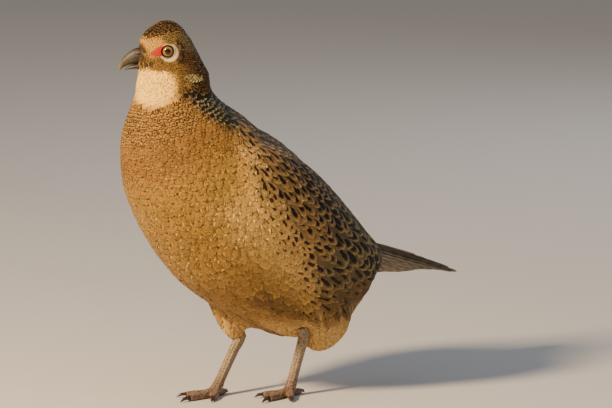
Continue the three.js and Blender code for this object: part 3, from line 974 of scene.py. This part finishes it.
def coat_piece(name, family, points, out, lie, plumage, body, seed, hug=1.0,
               thickness=VANE_THICKNESS, paint=None, high=0.0, sway=0.15):
    """Lays one vane on each point and returns the finished mesh object. Hug is how closely a vane follows the
    body, high its height over it in mm, and sway how far its lie strays."""
    rng = np.random.default_rng(seed)
    count = len(points)
    mesh = bpy.data.meshes.new(name)
    mesh.from_pydata(points.tolist(), [], [])
    lie = unit(lie + np.cross(out, lie) * rng.normal(0, sway, count)[:, None])
    grow = rng.uniform(0.9, 1.12, count)
    size = np.stack([plumage["width"] * MM * grow, plumage["length"] * MM * grow, np.ones(count)], 1)
    given = {
        "out": out,
        "lie": lie,
        "size": size,
        "variant": rng.integers(0, 60, count),
        "hug": np.full(count, hug),
        "rise": plumage["rise"] * MM * rng.uniform(0.92, 1.05, count),
        "high": (high + rng.uniform(0, 0.04, count) * plumage["rise"]) * MM,
        "mark": np.stack([plumage[k] for k in MARKS], 1) * rng.uniform(0.7, 1.15, (count, 3)),
        "habit": np.stack([plumage["bars"], rng.normal(1, 0.06, count), plumage["mottle"]], 1),
        "chance": rng.random(count),
        "root_uv": bake_places(points),
    }
    for field in COLOUR_FIELDS:
        given[field] = np.column_stack([plumage[field], np.ones(count)])
    for field, values in given.items():
        give(mesh, field, values)
    piece = new_object(name, mesh)
    layer = piece.modifiers.new("lay", "NODES")
    layer.node_group = LAYING
    layer[SOCKETS["Vanes"]] = VANES[family]
    layer[SOCKETS["Body"]] = body
    layer[SOCKETS["Finish"]] = paint or FEATHER
    layer[SOCKETS["Thickness"]] = thickness
    baked(piece)
    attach(piece, "root")
    print(name, count, "feathers", sum(len(p.vertices) - 2 for p in piece.data.polygons), "triangles")
    return piece


def bare(points):
    """1 where no feathers grow: the eye, its lids and ring, the red skin and the root of the bill."""
    forward, up, out = head_places(points)
    on_side = out > 7
    eye = (eye_ring(forward, up) + eye_ring(forward - 2, up) > 0.4) & on_side
    red = (red_skin(forward - 1.2, up) + red_skin(forward, up) > 0.5) & on_side
    return (eye | red | (forward > 25) & (up > -20)).astype(float)


co = positions(skin.data)
plumage = plumage_at(co)
roots, roots_out = scatter(skin.data, plumage["length"] * CROWDING, 1 - bare(co), seed=7)
roots_lie = lie_at(roots, roots_out)
roots_back, roots_dorsal, _ = along_spine(roots)
_, roots_up, _ = head_places(roots)
above = roots_dorsal > back_border(roots_back) - 0.05
on_head = roots_up > -34
on_neck = ~on_head & (roots_back < 80)
on_trunk = ~on_head & ~on_neck
ahead = roots_back < 170
TRACTS = {
    "head": ("small", "plumage", 0.12, on_head),
    "neck": ("round", "plumage", 0.06, on_neck),
    "back": ("lance", "wing", 0.15, on_trunk & above),
    "breast": ("round", "plumage", 0.15, on_trunk & ahead & ~above),
    "belly": ("soft", "plumage", 0.15, on_trunk & ~ahead & ~above),
}
for i, (tract, (family, part, sway, inside)) in enumerate(TRACTS.items()):
    coat_piece(f"feathers_{tract}", family, roots[inside], roots_out[inside], roots_lie[inside],
               plumage_at(roots[inside]), skin, seed=20 + i, sway=sway)

# %% [markdown]
# The eyeball is a ball with a coloured iris drawn round the axis that looks out of the head.
# The iris is amber, darker at its rim and round the black pupil. A clear wet layer gives the highlight.

# %% Eyes
PUPIL = 2.4  # mm, radius
IRIS = 4.5  # mm, radius

eye_paint, tree, surface = new_paint("wet_eye_amber_iris")
from_axis = carried(tree, "from_axis", "Fac")
spokes = add_node(tree, "ShaderNodeTexNoise", {
    "Vector": add_node(tree, "ShaderNodeTexCoord").outputs["Object"], "Scale": 1 / (0.5 * MM), "Detail": 3.0})
iris = mixed(tree, rgba("#5a3806"), rgba("#8f6612"), eased(tree, from_axis, PUPIL, PUPIL + 0.9))
iris = mixed(tree, iris, rgba("#4d2d08"), eased(tree, from_axis, IRIS - 0.9, IRIS))
iris = scaled(tree, iris, maths(tree, "MULTIPLY_ADD", spokes.outputs[0], 0.7, 0.65))
inside = mixed(tree, rgba("#050302"), iris, eased(tree, from_axis, PUPIL - 0.12, PUPIL + 0.12))
ball = mixed(tree, inside, rgba("#0d0704"), eased(tree, from_axis, IRIS - 0.1, IRIS + 0.25))
plug(surface, {"Base Color": ball, "Roughness": 0.5, "Specular IOR Level": 0.1, "Coat Weight": 1.0,
               "Coat Roughness": 0.015})

for side, hand in SIDES.items():
    mesh = bpy.data.meshes.new(f"eyeball_{side}")
    bm = bmesh.new()
    bmesh.ops.create_uvsphere(bm, u_segments=64, v_segments=40, radius=EYE_RADIUS * MM)
    axis = HEAD_LEFT * hand
    bm.transform(axis.to_track_quat("Z", "Y").to_matrix().to_4x4())
    bm.to_mesh(mesh)
    bm.free()
    local = positions(mesh) / MM
    front = local @ np.array(axis)
    radial = np.sqrt(np.maximum(EYE_RADIUS**2 - front**2, 0))
    give(mesh, "from_axis", np.where(front > 0, radial, EYE_RADIUS))
    mesh.transform(Matrix.Translation(EYES[side]))
    mesh.shade_smooth()
    mesh.materials.append(eye_paint)
    eye = new_object(f"eyeball_{side}", mesh)
    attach(eye, "root")
    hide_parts(f"eye_{side}")
print("eyes: pupil", PUPIL, "iris", IRIS, "mm")

# %% [markdown]
# The bill is horn over bone. It is remeshed from its solids and smoothed, and keeps their outline.
# A soft flap lies over each nostril, and below it the slit goes in.
# Its colour goes from dark brown at the root to olive brown, and is paler at the tip.

# %% Bill
def horn(name, base, layers, roughness, grain_mm, grain_mm_high):
    """Horn with a fine dark grain. Layers of (colour, way, from, to) set in along a way in space, in mm."""
    paint, tree, surface = new_paint(name)
    place = add_node(tree, "ShaderNodeTexCoord").outputs["Object"]
    grain = add_node(tree, "ShaderNodeTexNoise", {
        "Vector": place, "Scale": 1 / (grain_mm * MM), "Detail": 4.0}).outputs[0]
    colour = rgba(base)
    for code, way, low, high in layers:
        along = add_node(tree, "ShaderNodeVectorMath", {0: place, 1: tuple(way)}, operation="DOT_PRODUCT")
        value = maths(tree, "MULTIPLY", along.outputs["Value"], 1 / MM)
        value = maths(tree, "MULTIPLY_ADD", grain, 3.0, value)
        colour = mixed(tree, colour, rgba(code), eased(tree, value, low + 1.5, high + 1.5))
    dark = maths(tree, "MULTIPLY", eased(tree, grain, 0.48, 0.66), 0.6)
    plug(surface, {"Base Color": mixed(tree, colour, rgba("#120d09"), dark), "Roughness": roughness,
                   "Normal": relief(tree, grain, grain_mm_high * MM, 0.7)})
    return paint


def horn_piece(nodes, name, voxel_mm, rounds):
    """One smooth mesh in the place of CAD nodes."""
    piece = remeshed(joined_copy(nodes, name), voxel_mm * MM)
    smooth(piece.data, EVEN * rounds)
    return piece


def finished(piece, paint):
    """Shades a piece smooth, and gives it its paint."""
    piece.data.shade_smooth()
    piece.data.materials.append(paint)
    print(piece.name, len(piece.data.vertices), "vertices")


EYE_FORWARD = FACING.dot(HEAD) / MM  # where the eyes stand along the way the head faces
bill_paint = horn("bill_horn", "#2e211b", (
    ("#463d2b", FACING, EYE_FORWARD + 27, EYE_FORWARD + 33),
    ("#7b7052", FACING, EYE_FORWARD + 38, EYE_FORWARD + 44),
), roughness=0.52, grain_mm=1.1, grain_mm_high=0.14)


def shape_nostrils(mesh):
    """Raises the flap, sinks the slit below it, and draws in the cutting edge."""
    co = positions(mesh)
    forward, up, out = head_places(co)
    flap = np.exp(-(((forward - 21.5) / 3.4) ** 2) - (((up + 1.8) / 1.7) ** 2))
    slit = np.exp(-(((forward - 22.5) / 3.0) ** 2) - (((up + 4.3) / 0.75) ** 2))
    edge = np.exp(-(((up + 11.8 + 0.03 * (forward - 20)) / 0.6) ** 2)) * (forward > 14)
    side = np.sign((co - HEAD) @ HEAD_LEFT)
    move = (0.55 * flap - 1.1 * slit - 0.1 * edge) * ramp(out, 1, 2.5) * side
    place_vertices(mesh, co + move[:, None] * MM * HEAD_LEFT)


for node in ("bill_upper", "bill_lower"):
    bill = horn_piece([node], f"{node}_horn", 0.55, 5)
    if node == "bill_upper":
        shape_nostrils(bill.data)
    finished(bill, bill_paint)
    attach(bill, "root")
    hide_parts(node)

# %% [markdown]
# The lower legs are bare. Skin covers the bones, and over their front lie four rows of horny plates, the
# scutes, one over the next. Two rows of smaller ones lie on each toe, right to the claw.

# %% Legs
TOES = ("inner", "middle", "outer", "hind")

leg_paint = horn("leg_scales", "#9a866c", (("#7c6450", UP, 30, 8),), roughness=0.55, grain_mm=1.6,
                 grain_mm_high=0.3)

# the step from plate to plate in mm, the turn of each row, and how far from the bone the skin may lie in mm
TARSUS_PLATES = (3.0, (-1.1, -0.37, 0.37, 1.1), 12)
TOE_PLATES = (2.0, (-0.5, 0.5), 8)
TARSUS_PLATE_SIZE = (4.6, 3.4)  # mm, length and width
TOE_PLATE_SIZE = (3.4, 4.2)
SLAB = 0.7 * MM  # how far before and behind a row's place a root may be

LEGS = {}
for side in SIDES:
    nodes = [f"tarsus_{side}"] + [f"toe_{side}_{toe}" for toe in TOES]
    leg = horn_piece(nodes, f"leg_skin_{side}", 0.8, 4)
    give(leg.data, "outwards", normals(leg.data))
    finished(leg, leg_paint)
    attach(leg, "root")
    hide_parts(*nodes)
    LEGS[side] = leg


END_SHARE = 0.12  # of a node's length, taken as its end


def node_ends(node, way):
    """The middles of a node's two ends, the first one furthest along the way given."""
    co = positions(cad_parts[node].data)
    along = co @ np.array(way)
    end = END_SHARE * np.ptp(along)
    return co[along > along.max() - end].mean(0), co[along < along.min() + end].mean(0)


def plates_along(mesh, start, end, step, turns, reach):
    """Roots of plates on the surface round a line, one row for each turn in radians from the front."""
    co, out = positions(mesh), normals(mesh)
    length = np.linalg.norm(end - start)
    axis = (end - start) / length
    front = np.array((0, -1, 0)) if abs(axis[2]) > 0.6 else np.array(UP)
    front = front - axis * (front @ axis)
    front /= np.linalg.norm(front)
    aside = np.cross(axis, front)
    picked = []
    for distance in np.arange(0, length, step * MM):
        middle = start + axis * distance
        away = co - middle
        close = (np.abs(away @ axis) < SLAB) & (np.linalg.norm(away, axis=1) < reach * MM)
        slab = np.flatnonzero(close)
        for turn in turns:
            way = front * math.cos(turn) + aside * math.sin(turn)
            if len(slab):
                picked.append(slab[np.argmax(away[slab] @ way)])
    picked = np.array(picked)
    lie = axis - out[picked] * (out[picked] @ axis)[:, None]
    return co[picked], out[picked], unit(lie)


for side, leg in LEGS.items():
    rows = [plates_along(leg.data, *node_ends(f"tarsus_{side}", UP), *TARSUS_PLATES)]
    sizes = [np.tile(TARSUS_PLATE_SIZE, (len(rows[0][0]), 1))]
    for toe in TOES:
        backward = (0, -1, 0) if toe == "hind" else (0, 1, 0)
        rows.append(plates_along(leg.data, *node_ends(f"toe_{side}_{toe}", backward), *TOE_PLATES))
        sizes.append(np.tile(TOE_PLATE_SIZE, (len(rows[-1][0]), 1)))
    points, out, lie = (np.concatenate(parts) for parts in zip(*rows))
    scutes = Plumage(len(points))
    scutes.lay(1, rise=0.22)
    scutes.fields["length"], scutes.fields["width"] = np.concatenate(sizes).T
    coat_piece(f"leg_scutes_{side}", "scute", points, out, lie, scutes, leg, seed=60,
               thickness=0.2 * MM, paint=leg_paint, high=0.05, sway=0.04)

# %% [markdown]
# The claws are short, blunt and dark, worn by scratching for food. They are remeshed and smoothed one by one.

# %% Claws
claw_paint = horn("claw_horn", "#3a2c22", (), roughness=0.38, grain_mm=0.9, grain_mm_high=0.08)
for side in SIDES:
    for toe in TOES:
        node = f"claw_{side}_{toe}"
        claw = horn_piece([node], f"{node}_horn", 0.4, 3)
        finished(claw, claw_paint)
        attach(claw, "root")
        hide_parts(node)

# %% [markdown]
# The tail closes like a fan: eighteen long pointed feathers lie over each other, the middle pair longest
# and on top. Each further pair is shorter, lower and turned a little outwards.

# %% Tail
TAIL_ROOT = np.array(BETWEEN_FEET) + np.array((0, 112, 133)) * MM
TAIL_SLOPE = math.radians(18)
TAIL_AXIS = np.array((0, math.cos(TAIL_SLOPE), -math.sin(TAIL_SLOPE)))
TAIL_UP = np.array((0, math.sin(TAIL_SLOPE), math.cos(TAIL_SLOPE)))
TAIL_LONGEST = 176
TAIL_ARCH = 19  # mm, radius of the roof that the closed tail makes at its root
PAIRS = 9
FIRST_LEAN, LEAN_STEP = 4, 9.8  # degrees that the first pair leans out, and each further one more
SHORTENING = 0.052  # of the longest, from pair to pair
PAIR_UNDER, HAND_UNDER = 0.35, 0.12  # mm that a feather lies under the pair before, and under its partner

pair = np.repeat(np.arange(PAIRS), 2)
hand = np.tile((1, -1), PAIRS)
lean = np.radians(FIRST_LEAN + LEAN_STEP * pair)
outwards = np.outer(hand * np.sin(lean), (1, 0, 0)) + np.outer(np.cos(lean), TAIL_UP)
length = TAIL_LONGEST * (1 - SHORTENING * pair) - 2 * hand
closing = 1 - 0.93 * length / TAIL_LONGEST
arch = TAIL_ARCH - PAIR_UNDER * pair - HAND_UNDER * hand
from_root = (outwards * arch[:, None] - TAIL_UP * TAIL_ARCH) * MM
tail_points = TAIL_ROOT + from_root
tail_lie = unit(from_root * (closing - 1)[:, None] + np.outer(length, TAIL_AXIS) * MM)
tail_out = unit(outwards - tail_lie * (outwards * tail_lie).sum(1)[:, None])
tail_plumage = Plumage(len(tail_points))
tail_plumage.lay(1, "#a3937a", "#b0a189", "#2f251b", dark=0.1, ring=0, streak=0.35, bars=0.3, mottle=0.35,
                 length=length, width=23, rise=0.3, depth=0)
tail = coat_piece("feathers_tail", "flight", tail_points, tail_out, tail_lie, tail_plumage, skin,
                  seed=40, hug=0.0, thickness=0.5 * MM, sway=0.012)
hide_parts("tail")
